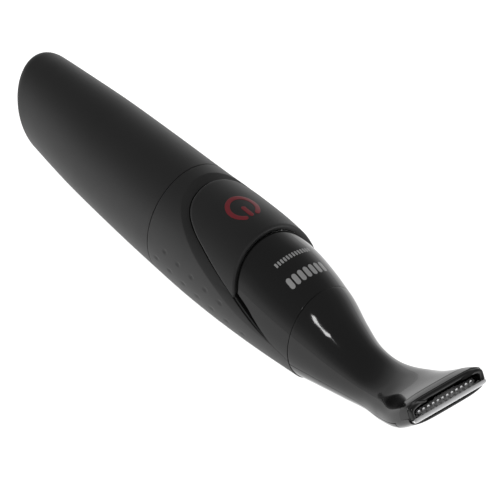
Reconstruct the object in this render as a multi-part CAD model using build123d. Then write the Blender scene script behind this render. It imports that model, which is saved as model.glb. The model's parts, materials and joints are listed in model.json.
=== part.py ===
"""A slim battery trimmer with a curved T-shaped cutting head, in millimetres.

The battery axis is X, with the head towards +X. The key side faces +Z, and Y runs across.
Stations along X are measured from the rear end of the cap. At the end everything is shifted
so that the origin is the bottom centre of the whole object as it lies on its back.
"""

from build123d import *
import math
import os

# ---- Driving dimensions -----------------------------------------------------------------

WALL = 1.5                      # moulded shell wall
SKIN_GAP = 0.12                 # half the visible seam between two shells
RUNNING = 0.15                  # clearance of a sliding plastic fit

# Outside of the handle: station, radius, height of the section's centre.
BODY = (
    (-14.0, 8.9, 0.1),
    (-6.3, 9.78, 0.1),
    (4.8, 11.03, -0.05),
    (15.0, 12.05, -0.15),
    (30.0, 13.0, -0.2),
    (49.0, 13.83, -0.05),
    (60.0, 14.28, 0.32),
    (70.0, 14.22, 0.57),
    (77.0, 13.68, 0.4),
    (84.0, 12.7, -0.25),
    (90.0, 11.6, -0.98),
    (95.0, 10.7, -1.5),
    (100.0, 9.9, -2.0),
)
# The glossy nose runs a step lower than the key, then meets the body's own surface.
NOSE = (
    (66.0, 12.8, 0.45),
    (74.0, 12.85, 0.45),
    (80.0, 12.8, 0.15),
    (86.0, 12.22, -0.5),
    (93.0, 11.02, -1.32),
    (98.0, 10.15, -1.85),
)

REAR_X = -3.3                    # rear face, where it crosses the battery axis
REAR_LEAN = 34.0                # the rear face leans, so the key side is the longer one
REAR_ROUND = 1.8
SEAM_X = 48.4                   # cap seam, where it crosses the battery axis
SEAM_LEAN = 12.0
NECK_X = 92.8                   # head seam, where it crosses the battery axis
NECK_LEAN = 12.0

KEY_LINE = ((55.0, 11.1), (88.2, -0.95))     # lower edge of the key, seen from the side
BEVEL_LINE = ((52.8, 10.2), (79.1, -0.95))   # outer edge of the channel round the key
KEY_REAR_TOP = (51.3, 14.6)
BEVEL_REAR_TOP = (48.6, 14.4)
KEY_FRONT = ((71.6, 14.4), (75.9, 4.6))      # front edge of the key, seen from the side
NOSE_LINE = ((75.9, 5.1), (88.2, -0.95))     # lower edge of the nose over its open wedge
CHANNEL_DEPTH = 1.0
KEY_THICK = 0.85
KEY_TRAVEL = 0.5
DECK_DEPTH = 2.9
KEY_GAP = 0.28

ICON_X = 62.9
ICON_RADIUS = 4.1
ICON_STROKE = 1.15
ICON_DEEP = 0.3

REST_Z = 13.65                  # the flat on the back lies this far below the battery axis
REST_FLAT = (40.0, 76.0)

CELL_RADIUS = 7.25
CELL_X = (3.6, 52.8)
CELL_NUB = (2.7, 1.4)           # radius and length of the positive terminal
CRADLE_X = (1.6, 55.1)
CRADLE_WALL = (1.0, 0.6)         # its rear and front end walls
CRADLE_RADIUS = 8.3

MOTOR_Z = -1.2
MOTOR_X = (56.2, 80.7)
MOTOR_RADIUS = 7.8
MOTOR_FLAT = 6.1                # half the height across the can's flats
CAN_WALL = 0.6
SHAFT_RADIUS = 0.75
CAM_RADIUS = 3.0
CAM_X = (82.6, 85.4)
PIN_RADIUS = 0.6
PIN_THROW = 0.7
PIN_END = 91.2

BOARD_Z = 6.1
BOARD_THICK = 0.8
SWITCH_TOP = 8.3
PLUNGER_TOP = 9.2

# Head: station, centre height, lean, half width, half height, squareness above and below.
HEAD = (
    (88.0, -0.78, 0.0, 11.95, 11.95, 2.0, 2.0),
    (92.5, -1.25, 0.0, 11.12, 11.1, 2.0, 2.0),
    (99.5, -2.15, 0.0, 9.1, 8.8, 2.0, 2.0),
    (106.5, -2.35, 6.0, 7.5, 6.95, 2.0, 2.0),
    (113.3, -1.07, 18.0, 7.6, 5.25, 2.1, 2.2),
    (119.8, 1.42, 28.0, 9.5, 4.65, 2.2, 2.6),
    (126.0, 5.48, 34.0, 11.55, 3.95, 2.7, 3.2),
    (130.23, 9.92, 36.0, 12.14, 2.85, 3.4, 4.0),
)
HEAD_WALL = 1.2
SECTION_POINTS = 16

BLADE_AT = (131.92, 9.29)       # middle of the guard plate's bright front edge
BLADE_LEAN = 36.0               # how far the blade points up from the battery axis
BLADE_WIDTH = 23.4
FRONT_EDGE = 1.1
SLOTS = 12
SLOT_PITCH = 1.5
SLOT_WIDTH = 0.6
SLOT_LONG = 1.7
PLATE_THICK = 0.35
MOUTH_FACE = -1.0               # where the head's end face stands behind the bright edge

LEVER_PIVOT_X = 106.0

BIG = 200.0

CHANNEL_END = 79.0              # where the channel beside the key runs out
TONGUE_RISE = 1.0               # how far the rear shell reaches up under the key
TONGUE_DEPTH = 2.6
SPIGOT_LONG = 4.5
DECK_THICK = 1.2
POST_RADIUS = 1.8
KEY_WEB = 1.4                   # thickness of the key away from its rim
KEY_WEB_EDGE = 2.2
ICON_GAP = 3.6
ICON_BAR = (-0.2, 3.5)          # start and length of the sign's bar
DIMPLE_PITCH = 4.7
DIMPLE_BALL = 1.6
DIMPLE_DEPTH = 0.3
DIMPLE_ROWS = (                 # first station, count, angle from the key side, its growth
    (54.4, 5, 84.6, 1.6),
    (52.1, 7, 100.0, 1.9),
)
CRADLE_TOP = 1.5
STRIP_Y = (7.3, 7.85)
PARTING = 0.3                   # how far below its middle the head's covers meet
CARRIER_LONG = 5.4
CARRIER_TOP = 1.0
CARRIER_FLOOR = -1.0
CUTTER_HALF = 9.6
MOUTH_HALF = 10.9
PIVOT_RADIUS = 0.9
PIVOT_Z = (-6.5, 2.0)
HUB_Z = (-3.4, 0.3)
FORK_X = 88.3
FORK_SLOT = 4.4


# ---- Shared shapes ----------------------------------------------------------------------

def round_loft(stations, inset=0.0, drop=0.0):
    """A solid through circular sections, each one smaller by the inset."""
    rings = []
    for station, radius, height in stations:
        place = Plane(origin=(station, 0, height - drop), x_dir=(0, 1, 0), z_dir=(1, 0, 0))
        rings.append(place * Circle(radius - inset))
    return loft(rings)


def squircle(half_width, half_height, upper_power, lower_power):
    """A closed smooth outline between an ellipse and a rounded rectangle."""
    points = []
    for step in range(SECTION_POINTS):
        turn = 2 * math.pi * (step + 0.5) / SECTION_POINTS
        power = upper_power if math.sin(turn) > 0 else lower_power
        across = math.copysign(abs(math.cos(turn)) ** (2 / power), math.cos(turn))
        up = math.copysign(abs(math.sin(turn)) ** (2 / power), math.sin(turn))
        points.append((half_width * across, half_height * up))
    return make_face(Spline(*points, periodic=True))


def head_loft(inset=0.0):
    """The outside of the head, or the same shape shrunk by the inset."""
    sections = []
    for station, height, lean, half_width, half_height, upper, lower in HEAD:
        turn = math.radians(lean)
        place = Plane(
            origin=(station, 0, height),
            x_dir=(0, 1, 0),
            z_dir=(math.cos(turn), 0, math.sin(turn)),
        )
        sections.append(place * squircle(half_width - inset, half_height - inset, upper, lower))
    return loft(sections)


def side_prism(points, half_width=20.0):
    """A prism across the object, from an outline drawn in the side view (x, z)."""
    outline = Plane.XZ * make_face(Polyline(*points, close=True))
    return extrude(outline, half_width, both=True)


def line_at(line, station):
    """The height of a side view line at a station."""
    (x0, z0), (x1, z1) = line
    return z0 + (z1 - z0) * (station - x0) / (x1 - x0)


def x_on(line, height):
    """The station of a side view line at a height."""
    (x0, z0), (x1, z1) = line
    return x0 + (x1 - x0) * (height - z0) / (z1 - z0)


def beyond(station, lean, ahead=True, shift=0.0):
    """Everything ahead of, or behind, a plane that leans back towards the key side."""
    slope = math.tan(math.radians(lean))
    top = station + shift - slope * 30
    low = station + shift + slope * 30
    far = BIG if ahead else -BIG
    return side_prism([(top, 30), (low, -30), (far, -30), (far, 30)])


def above(line, rear_top, lift=0.0):
    """Everything above a side view line whose rear end turns up to the top of the body."""
    start = line[0]
    ahead = 96.0
    return side_prism([
        (rear_top[0] + lift, rear_top[1] + 20),
        (rear_top[0] + lift, rear_top[1]),
        (start[0] + lift, start[1] + lift),
        (ahead, line_at(line, ahead) + lift),
        (BIG, line_at(line, ahead) + lift),
        (BIG, 40),
    ])


def rod(x0, x1, radius, y=0.0, z=0.0):
    """A round bar along X."""
    place = Plane(origin=(x0, y, z), x_dir=(0, 1, 0), z_dir=(1, 0, 0))
    return extrude(place * Circle(radius), x1 - x0)


def block(x0, x1, y0, y1, z0, z1):
    """A box given by its two corners."""
    return Pos((x0 + x1) / 2, (y0 + y1) / 2, (z0 + z1) / 2) * Box(x1 - x0, y1 - y0, z1 - z0)


def flatted_rod(x0, x1, radius, half_flat, z=0.0):
    """A round bar with flats above and below, as a small motor has."""
    return rod(x0, x1, radius, z=z) & block(x0, x1, -20, 20, z - half_flat, z + half_flat)


def blade_box(back, front, half_width, low, high):
    """A box in the blade's own frame: forward, across, and up from its bright edge."""
    place = Plane(
        origin=(BLADE_AT[0], 0, BLADE_AT[1]),
        x_dir=(math.cos(math.radians(BLADE_LEAN)), 0, math.sin(math.radians(BLADE_LEAN))),
        z_dir=(-math.sin(math.radians(BLADE_LEAN)), 0, math.cos(math.radians(BLADE_LEAN))),
    )
    middle = Pos((back + front) / 2, 0, (low + high) / 2)
    return place.location * middle * Box(front - back, 2 * half_width, high - low)


# ---- Masters ----------------------------------------------------------------------------

def rear_trimmed(body, inset):
    """The handle's solid, trimmed at the rear by a leaning face with a rounded rim."""
    trimmed = body & beyond(REAR_X + inset, REAR_LEAN)
    rim = trimmed.faces().sort_by(Axis.X)[0].edges()
    return fillet(rim, max(REAR_ROUND - inset, 0.5))


rest_cut = block(REST_FLAT[0], REST_FLAT[1], -20, 20, -30, -REST_Z)
body_outside = rear_trimmed(round_loft(BODY), 0.0) - rest_cut
body_inside = rear_trimmed(round_loft(BODY, WALL), WALL)
head_outside = head_loft()
head_inside = head_loft(HEAD_WALL)
key_front_lean = math.degrees(math.atan(
    (KEY_FRONT[1][0] - KEY_FRONT[0][0]) / (KEY_FRONT[0][1] - KEY_FRONT[1][1])
))
key_front_x = x_on(KEY_FRONT, 0.0)


# ---- Shells of the handle ---------------------------------------------------------------

def battery_cap():
    """The pull-off rear half of the handle, which covers the battery."""
    shell = body_outside - body_inside
    return shell & beyond(SEAM_X, SEAM_LEAN, ahead=False, shift=-SKIN_GAP)


def dimple_cutter():
    """Two staggered rows of shallow grip dimples on each side."""
    pits = []
    for row, (first, count, turn, fall) in enumerate(DIMPLE_ROWS):
        for step in range(count):
            station = first + step * DIMPLE_PITCH
            angle = math.radians(turn + step * fall)
            radius, height = skin_at(station)
            reach = radius + DIMPLE_BALL - DIMPLE_DEPTH
            for side in (-1, 1):
                ball = Sphere(DIMPLE_BALL)
                pits.append(Pos(
                    station,
                    side * reach * math.sin(angle),
                    height + reach * math.cos(angle),
                ) * ball)
    return pits


def skin_at(station):
    """Radius and centre height of the handle at a station, between the listed sections."""
    for (x0, r0, z0), (x1, r1, z1) in zip(BODY, BODY[1:]):
        if x0 <= station <= x1:
            share = (station - x0) / (x1 - x0)
            return r0 + (r1 - r0) * share, z0 + (z1 - z0) * share
    return BODY[-1][1:]


def rear_shell():
    """The lower shell: a full ring at the cap, then the back and sides under the key."""
    channel_floor = round_loft(BODY, CHANNEL_DEPTH, KEY_TRAVEL)
    channel = above(BEVEL_LINE, BEVEL_REAR_TOP) & beyond(CHANNEL_END, NECK_LEAN, ahead=False)
    opening = above(KEY_LINE, KEY_REAR_TOP, TONGUE_RISE) & beyond(CHANNEL_END, NECK_LEAN, False)
    opening += above(KEY_LINE, KEY_REAR_TOP) & beyond(CHANNEL_END, NECK_LEAN)
    thick_zone = above(BEVEL_LINE, BEVEL_REAR_TOP, -1.5) & beyond(CHANNEL_END, NECK_LEAN, False)
    hollow = (round_loft(BODY, WALL) - thick_zone) + round_loft(BODY, TONGUE_DEPTH)
    shell = body_outside - (channel - channel_floor) - opening - hollow
    shell = shell & beyond(SEAM_X, SEAM_LEAN, shift=SKIN_GAP)
    shell = shell & beyond(NECK_X, NECK_LEAN, ahead=False, shift=-SKIN_GAP)
    spigot = round_loft(BODY, WALL + RUNNING) - round_loft(BODY, WALL + RUNNING + 1.2)
    spigot = spigot & beyond(SEAM_X, SEAM_LEAN, shift=-SPIGOT_LONG)
    spigot = spigot & beyond(SEAM_X, SEAM_LEAN, ahead=False, shift=SKIN_GAP)
    root = round_loft(BODY, 0.6) - round_loft(BODY, WALL + RUNNING + 1.2)
    root = root & beyond(SEAM_X, SEAM_LEAN, shift=SKIN_GAP)
    root = root & beyond(SEAM_X, SEAM_LEAN, ahead=False, shift=1.3)
    root = root - above(BEVEL_LINE, BEVEL_REAR_TOP)
    shell = shell + root + spigot
    for pit in dimple_cutter():
        shell = shell - pit
    return shell


def front_shell():
    """The glossy nose in front of the key, and the deck that runs on under the key."""
    neck = beyond(NECK_X, NECK_LEAN, ahead=False, shift=-SKIN_GAP)
    end = NOSE_LINE[1]
    nose_zone = side_prism([
        (66, line_at(NOSE_LINE, 66)),
        (end[0], line_at(KEY_LINE, end[0]) + SKIN_GAP),
        (97, line_at(KEY_LINE, 97) + SKIN_GAP),
        (97, 30),
        (66, 30),
    ])
    ahead = beyond(key_front_x, key_front_lean, shift=KEY_GAP)
    nose = (round_loft(NOSE) - round_loft(NOSE, WALL)) & nose_zone & ahead & neck
    deck_zone = above(KEY_LINE, KEY_REAR_TOP)
    behind = beyond(key_front_x, key_front_lean, ahead=False, shift=1.6)
    deck = round_loft(BODY, DECK_DEPTH) - round_loft(BODY, DECK_DEPTH + DECK_THICK)
    deck = deck & deck_zone & behind
    web = round_loft(NOSE, 0.4) - round_loft(BODY, DECK_DEPTH + DECK_THICK)
    web = web & ahead & behind & nose_zone
    shell = nose + deck + web
    return shell - Pos(ICON_X, 0, 10) * Cylinder(POST_RADIUS + 0.4, 12)


# ---- Key --------------------------------------------------------------------------------

def symbol_outline():
    """The standard power sign: an open ring with a short bar in its gap."""
    middle = ICON_RADIUS - ICON_STROKE / 2
    ring = Circle(ICON_RADIUS) - Circle(ICON_RADIUS - ICON_STROKE)
    gap = Pos(ICON_RADIUS, 0) * Rectangle(2 * ICON_RADIUS, ICON_GAP)
    ring = ring - gap
    turn = math.asin(ICON_GAP / 2 / middle)
    for side in (-1, 1):
        end = Pos(middle * math.cos(turn), side * middle * math.sin(turn))
        ring = ring + end * Circle(ICON_STROKE / 2)
    bar = Pos(ICON_BAR[0] + ICON_BAR[1] / 2, 0) * SlotOverall(ICON_BAR[1], ICON_STROKE)
    return ring, bar


def symbol_prisms():
    """The sign's two shapes, extruded up through the key."""
    place = Plane(origin=(ICON_X, 0, 11.0))
    return [extrude(place * shape, 8) for shape in symbol_outline()]


def power_symbol():
    """The coloured sign, moulded flush into the key."""
    skin = body_outside - round_loft(BODY, ICON_DEEP)
    ring, bar = symbol_prisms()
    return Compound(children=[(skin & ring).solid(), (skin & bar).solid()])


def power_button():
    """The whole matt panel is the key, and a post under its sign presses the switch."""
    front = beyond(key_front_x, key_front_lean, ahead=False)
    rim = body_outside - round_loft(BODY, KEY_THICK)
    rim = rim & above(KEY_LINE, KEY_REAR_TOP, KEY_GAP) & front
    web = round_loft(BODY, 0.5) - round_loft(BODY, KEY_WEB)
    web = web & above(KEY_LINE, KEY_REAR_TOP, KEY_WEB_EDGE) & front
    post = Pos(ICON_X, 0, (PLUNGER_TOP + 0.05 + 13.4) / 2) * Cylinder(
        POST_RADIUS, 13.4 - PLUNGER_TOP - 0.05
    )
    key = rim + web + post
    skin = body_outside - round_loft(BODY, ICON_DEEP)
    for prism in symbol_prisms():
        key = key - (skin & prism)
    return key


# ---- Frame, battery and contacts --------------------------------------------------------

def inner_frame():
    """The moulding that holds the battery, the motor and the switch board."""
    x0, x1 = CRADLE_X
    rear, front = CRADLE_WALL
    trough = rod(x0, x1, CRADLE_RADIUS) - rod(x0 + rear, x1 - front, CELL_RADIUS + 0.15)
    trough = trough & block(x0, x1, -20, 20, -20, CRADLE_TOP)
    trough = trough & beyond(REAR_X, REAR_LEAN, shift=2.2)
    motor_floor = MOTOR_Z - MOTOR_FLAT - 0.1
    frame = trough + block(55.9, 74.0, -8.1, 8.1, motor_floor - 1.2, motor_floor)
    for side in (-1, 1):
        inner, outer = side * (MOTOR_RADIUS + RUNNING), side * 8.9
        frame += block(x1 - front, 74.0, min(inner, outer), max(inner, outer), -7.9, 2.0)
        frame += block(57.0, 67.0, min(inner, outer), max(inner, outer), 1.0, BOARD_Z)
        shelf = sorted((side * 5.9, outer))
        frame += block(57.0, 67.0, shelf[0], shelf[1], BOARD_Z - 0.9, BOARD_Z)
        frame += block(73.0, 88.0, min(inner, outer), max(inner, outer), -4.0, 1.0)
    return frame


def battery_cell():
    """One AA cell in its sleeve, with rolled ends."""
    cell = rod(CELL_X[0], CELL_X[1], CELL_RADIUS)
    return fillet(cell.edges(), 0.6)


def battery_terminal():
    """The raised steel button on the cell's positive end."""
    radius, length = CELL_NUB
    nub = rod(CELL_X[1], CELL_X[1] + length, radius)
    return fillet(nub.edges().sort_by(Axis.X)[-1], 0.4)


def positive_contact():
    """A plate on the front wall of the cradle, with a tail up to the switch board."""
    x0 = CELL_X[1] + CELL_NUB[1]
    plate = rod(x0, x0 + 0.3, 4.0)
    tail = block(x0, x0 + 0.3, -1.2, 1.2, 0, BOARD_Z + BOARD_THICK + 0.3)
    foot = block(x0, 57.6, -1.2, 1.2, BOARD_Z + BOARD_THICK, BOARD_Z + BOARD_THICK + 0.3)
    return plate + tail + foot


def negative_contact():
    """A plate with a raised dome that the cell's flat end presses on, with a side arm."""
    x0 = CRADLE_X[0] + 1
    plate = rod(x0, x0 + 0.3, 5.0)
    dome = Pos((x0 + CELL_X[0] + 0.3) / 2, 0, 0) * Rot(0, 90, 0) * Cone(
        3.0, 1.6, CELL_X[0] - x0 - 0.3
    )
    arm = block(x0, x0 + 0.3, 0, 7.1, 0.6, CRADLE_TOP)
    arm += block(x0, x0 + 0.3, 0, STRIP_Y[1], CRADLE_TOP, CRADLE_TOP + 0.3)
    return plate + dome + arm


def contact_strip():
    """The long strip that brings the cell's negative end forward along the cradle's rim."""
    x0 = CRADLE_X[0] + 1.3
    end = CRADLE_X[1] + 0.1
    run = block(x0, end + 0.3, *STRIP_Y, CRADLE_TOP, CRADLE_TOP + 0.3)
    drop = block(end, end + 0.3, 6.4, STRIP_Y[1], -2.5, CRADLE_TOP)
    return run + drop


# ---- Motor and eccentric ----------------------------------------------------------------

def motor_can():
    """The steel can, closed at the shaft end."""
    x0, x1 = MOTOR_X[0] + 0.6, MOTOR_X[1]
    can = flatted_rod(x0, x1, MOTOR_RADIUS, MOTOR_FLAT, MOTOR_Z)
    room = flatted_rod(x0, x1 - CAN_WALL, MOTOR_RADIUS - CAN_WALL, MOTOR_FLAT - CAN_WALL, MOTOR_Z)
    return can - room - rod(x0, x1 + 1, 1.3, z=MOTOR_Z)


def motor_end_bell():
    """The plastic end cover that carries the brushes and the rear bearing."""
    x0 = MOTOR_X[0]
    cover = flatted_rod(x0, x0 + 0.6, MOTOR_RADIUS, MOTOR_FLAT, MOTOR_Z)
    plug = flatted_rod(x0 + 0.6, x0 + 1.8, MOTOR_RADIUS - 0.65, MOTOR_FLAT - 0.65, MOTOR_Z)
    return cover + plug - rod(x0 + 0.3, x0 + 3, SHAFT_RADIUS + 0.04, z=MOTOR_Z)


def motor_magnets():
    """Two curved magnets inside the can."""
    ring = rod(60.5, 78.5, 7.15, z=MOTOR_Z) - rod(60.5, 78.5, 5.4, z=MOTOR_Z)
    ring = ring & block(60.5, 78.5, -20, 20, MOTOR_Z - 5.4, MOTOR_Z + 5.4)
    return ring - block(60, 79, -3.2, 3.2, -20, 20)


def motor_bearing():
    """The sintered bush in the nose of the can."""
    x1 = MOTOR_X[1]
    bush = rod(x1 - 0.6, x1, 1.3, z=MOTOR_Z) + rod(x1, x1 + 0.8, 2.6, z=MOTOR_Z)
    return bush - rod(x1 - 1, x1 + 1, SHAFT_RADIUS + 0.04, z=MOTOR_Z)


def motor_shaft():
    """The steel shaft through armature, bush and cam."""
    return rod(MOTOR_X[0] + 0.4, CAM_X[0] + 1.4, SHAFT_RADIUS, z=MOTOR_Z)


def motor_armature():
    """A three-pole armature."""
    core = rod(62.0, 77.0, 4.9, z=MOTOR_Z) - rod(62.0, 77.0, SHAFT_RADIUS, z=MOTOR_Z)
    for step in range(3):
        groove = Pos(69.5, 0, MOTOR_Z) * Rot(120 * step, 0, 0) * Pos(0, 0, 4.1) * Box(15, 1.0, 3.2)
        core = core - groove
    return core


def motor_commutator():
    """The copper commutator that the brushes run on."""
    return rod(58.6, 61.0, 2.0, z=MOTOR_Z) - rod(58.6, 61.0, SHAFT_RADIUS, z=MOTOR_Z)


def motor_terminals():
    """Two solder tags on the end cover."""
    x0 = MOTOR_X[0]
    tags = [block(x0 - 1.0, x0, side * 5 - 0.8, side * 5 + 0.8, -1.4, -1.0) for side in (-1, 1)]
    return Compound(children=[tag.solid() for tag in tags])


def drive_cam():
    """The disc pressed on the shaft, cut away opposite its pin for balance."""
    disc = rod(CAM_X[0], CAM_X[1], CAM_RADIUS, z=MOTOR_Z)
    disc = disc - rod(CAM_X[0], CAM_X[0] + 1.4, SHAFT_RADIUS, z=MOTOR_Z)
    disc = disc - rod(CAM_X[0] + 1.4, CAM_X[1], PIN_RADIUS, y=PIN_THROW, z=MOTOR_Z)
    return disc - block(CAM_X[0], CAM_X[1], PIN_THROW + 1.1, 9, -9, 9)


def drive_pin():
    """The eccentric pin that rocks the lever."""
    return rod(CAM_X[0] + 1.4, PIN_END, PIN_RADIUS, y=PIN_THROW, z=MOTOR_Z)


# ---- Switch -----------------------------------------------------------------------------

def switch_board():
    """The small circuit board over the motor."""
    board = block(56.5, 72.0, -6.4, 6.4, BOARD_Z, BOARD_Z + BOARD_THICK)
    return fillet(board.edges().filter_by(Axis.Z), 0.8)


def switch_housing():
    """The body of the push switch."""
    top = BOARD_Z + BOARD_THICK
    body = block(ICON_X - 1.9, ICON_X + 3.9, -3, 3, top, SWITCH_TOP)
    return body - Pos(ICON_X, 0, top + 5.1) * Cylinder(1.6, 10)


def switch_plunger():
    """The button of the push switch."""
    low = BOARD_Z + BOARD_THICK + 0.7
    return Pos(ICON_X, 0, (low + PLUNGER_TOP) / 2) * Cylinder(1.5, PLUNGER_TOP - low)


# ---- Neck -------------------------------------------------------------------------------

def neck_collar():
    """The ring that closes the handle and carries the spigot that the head clips on."""
    back = beyond(NECK_X, NECK_LEAN, shift=-2.6)
    flange = round_loft(NOSE, WALL + 0.1) & back
    flange = flange & beyond(NECK_X, NECK_LEAN, ahead=False, shift=-0.3)
    spigot = head_loft(HEAD_WALL + 0.7) & beyond(NECK_X, NECK_LEAN, shift=-0.6)
    spigot = spigot & beyond(NECK_X, NECK_LEAN, ahead=False, shift=3.5)
    return flange + spigot - rod(80, 110, 6.0, z=MOTOR_Z)


# ---- Head -------------------------------------------------------------------------------

def parting(shift):
    """Everything below the line where the head's two covers meet, seen from the side."""
    line = []
    for station, height, _, _, half_height, _, _ in HEAD:
        line.append((station, height - PARTING * half_height + shift))
    first, last = line[0], line[-1]
    curve = Spline(*line)
    sides = Polyline(last, (last[0] + 20, last[1] + 12), (last[0] + 20, -40),
                     (first[0], -40), first)
    outline = Plane.XZ * make_face([curve, sides])
    return extrude(outline, 20, both=True)


def head_shell():
    """The hollow head ahead of the neck seam, open at the mouth."""
    shell = head_outside & beyond(NECK_X, NECK_LEAN, shift=SKIN_GAP)
    return shell - head_inside


def carrier_room(clearance):
    """The lower corner of the mouth, which belongs to the blade carrier."""
    return blade_box(-CARRIER_LONG - clearance, 5, 20, -8, CARRIER_TOP + clearance)


def head_rear_cover():
    """The lower half of the head, with the boss under the lever."""
    shell = head_shell() & parting(-SKIN_GAP / 2)
    boss = Pos(LEVER_PIVOT_X, 0, -6.55) * Cylinder(2.2, 6.0) & head_loft(HEAD_WALL / 2)
    bore = Pos(LEVER_PIVOT_X, 0, -4.0) * Cylinder(PIVOT_RADIUS, 6.4)
    return shell + boss - bore - carrier_room(SKIN_GAP)


def head_front_cover():
    """The upper half of the head, with the boss over the lever."""
    shell = head_shell() - parting(SKIN_GAP / 2)
    boss = Pos(LEVER_PIVOT_X, 0, 2.95) * Cylinder(2.2, 5.0) & head_loft(HEAD_WALL / 2)
    bore = Pos(LEVER_PIVOT_X, 0, -0.7) * Cylinder(PIVOT_RADIUS, 6.4)
    return shell + boss - bore - carrier_room(SKIN_GAP)


def lever_pivot_pin():
    """The steel pin between the two bosses."""
    return Pos(LEVER_PIVOT_X, 0, (PIVOT_Z[0] + PIVOT_Z[1]) / 2) * Cylinder(
        PIVOT_RADIUS, PIVOT_Z[1] - PIVOT_Z[0]
    )


def drive_lever():
    """The rocking lever: a fork round the eccentric pin, a hub, and a bent arm."""
    low, high = MOTOR_Z - 1.1, MOTOR_Z + 1.1
    fork = block(FORK_X, LEVER_PIVOT_X, -3.2, 3.2, low, high)
    fork = fork - block(FORK_X, FORK_X + 4.6, -FORK_SLOT / 2, FORK_SLOT / 2, low, high)
    hub = Pos(LEVER_PIVOT_X, 0, (HUB_Z[0] + HUB_Z[1]) / 2) * Cylinder(2.3, HUB_Z[1] - HUB_Z[0])
    turn = math.radians(BLADE_LEAN)
    finger_back = (
        BLADE_AT[0] - 9.0 * math.cos(turn) + 0.55 * math.sin(turn),
        BLADE_AT[1] - 9.0 * math.sin(turn) - 0.55 * math.cos(turn),
    )
    arm = side_prism([
        (LEVER_PIVOT_X, low + 0.1),
        (LEVER_PIVOT_X + 8, low + 1.0),
        (finger_back[0] + 0.6, finger_back[1] - 0.3),
        (finger_back[0] - 0.3, finger_back[1] + 0.9),
        (LEVER_PIVOT_X + 7, low + 2.8),
        (LEVER_PIVOT_X, high - 0.1),
    ], 1.3)
    finger = blade_box(-9.6, -3.6, 0.8, -0.85, -0.25)
    lever = fork + hub + arm + finger
    return lever - Pos(LEVER_PIVOT_X, 0, -2) * Cylinder(PIVOT_RADIUS + 0.05, 30)


def blade_carrier():
    """The separate mouthpiece that holds the guard plate, with a floor and two cheeks."""
    piece = head_outside & blade_box(-CARRIER_LONG, MOUTH_FACE, 20, -8, CARRIER_TOP)
    piece = piece - blade_box(-20, 5, MOUTH_HALF, CARRIER_FLOOR, 9)
    return piece


def guard_comb():
    """The fixed steel plate: a row of closed slots behind a turned-down bright edge."""
    top = FRONT_EDGE / 2
    plate = blade_box(-5.2, -0.2, MOUTH_HALF - 0.1, top - PLATE_THICK, top)
    edge = blade_box(-PLATE_THICK, 0, BLADE_WIDTH / 2, -top, top)
    lip = blade_box(-0.9, -0.2, BLADE_WIDTH / 2, top - PLATE_THICK, top)
    comb = plate + edge + lip
    for step in range(SLOTS):
        across = (step - (SLOTS - 1) / 2) * SLOT_PITCH
        comb = comb - tooth_gap(across)
    return comb


def tooth_gap(across):
    """One slot with a round root, cut through the guard plate."""
    turn = math.radians(BLADE_LEAN)
    place = Plane(
        origin=(BLADE_AT[0], 0, BLADE_AT[1]),
        x_dir=(math.cos(turn), 0, math.sin(turn)),
        z_dir=(-math.sin(turn), 0, math.cos(turn)),
    )
    outline = Pos(-0.45 - SLOT_LONG / 2, across) * SlotOverall(SLOT_LONG, SLOT_WIDTH)
    return extrude(place * outline, 2)


def cutter_blade():
    """The thin steel cutter that slides under the guard plate, with square notches."""
    high = FRONT_EDGE / 2 - PLATE_THICK - 0.05
    blade = blade_box(-5.0, -0.5, CUTTER_HALF, high - 0.3, high)
    for step in range(SLOTS + 1):
        across = (step - SLOTS / 2) * SLOT_PITCH * 0.96
        turn = math.radians(BLADE_LEAN)
        place = Plane(
            origin=(BLADE_AT[0], 0, BLADE_AT[1]),
            x_dir=(math.cos(turn), 0, math.sin(turn)),
            z_dir=(-math.sin(turn), 0, math.cos(turn)),
        )
        notch = place.location * Pos(-1.0, across, 0) * Box(1.4, 0.55, 2)
        blade = blade - notch
    return blade


def cutter_slider():
    """The plastic block under the cutter, with a slot for the lever's finger."""
    high = FRONT_EDGE / 2 - PLATE_THICK - 0.35
    slider = blade_box(-5.0, -2.6, 6.0, CARRIER_FLOOR + 0.2, high)
    return slider - blade_box(-6.0, -3.3, 1.05, -3, 3)


def cutter_spring():
    """The flat spring between the carrier's floor and the slider."""
    return blade_box(-4.6, -3.0, 8.0, CARRIER_FLOOR, CARRIER_FLOOR + 0.12)


NODES = (
    battery_cap, rear_shell, front_shell, power_button, power_symbol, inner_frame,
    battery_cell, battery_terminal, positive_contact, negative_contact, contact_strip,
    motor_can, motor_end_bell, motor_magnets, motor_bearing, motor_shaft, motor_armature,
    motor_commutator, motor_terminals, drive_cam, drive_pin, switch_board, switch_housing,
    switch_plunger, neck_collar, head_front_cover, head_rear_cover, lever_pivot_pin,
    drive_lever, blade_carrier, guard_comb, cutter_blade, cutter_slider, cutter_spring,
)


# ---- Placing and writing ----------------------------------------------------------------

os.makedirs("parts", exist_ok=True)
shapes = {make.__name__: make() for make in NODES}
low_x = min(shape.bounding_box().min.X for shape in shapes.values())
high_x = max(shape.bounding_box().max.X for shape in shapes.values())
middle_x = (low_x + high_x) / 2
shift = Pos(-middle_x, 0, REST_Z)
for name, shape in shapes.items():
    export_step(shift * shape, f"parts/{name}.step")
print("battery axis station 0 lies at x", -middle_x, "and z", REST_Z)
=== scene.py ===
"""The visual model of the trimmer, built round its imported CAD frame.

Shapes are worked out in millimetres along the battery axis: the station x runs towards the
head, and the angle runs round the handle from the key side. They are then moved into the
part's own frame.
"""

import json
import math

import bpy
import bmesh
import numpy as np
from mathutils import Matrix, Vector


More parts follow.
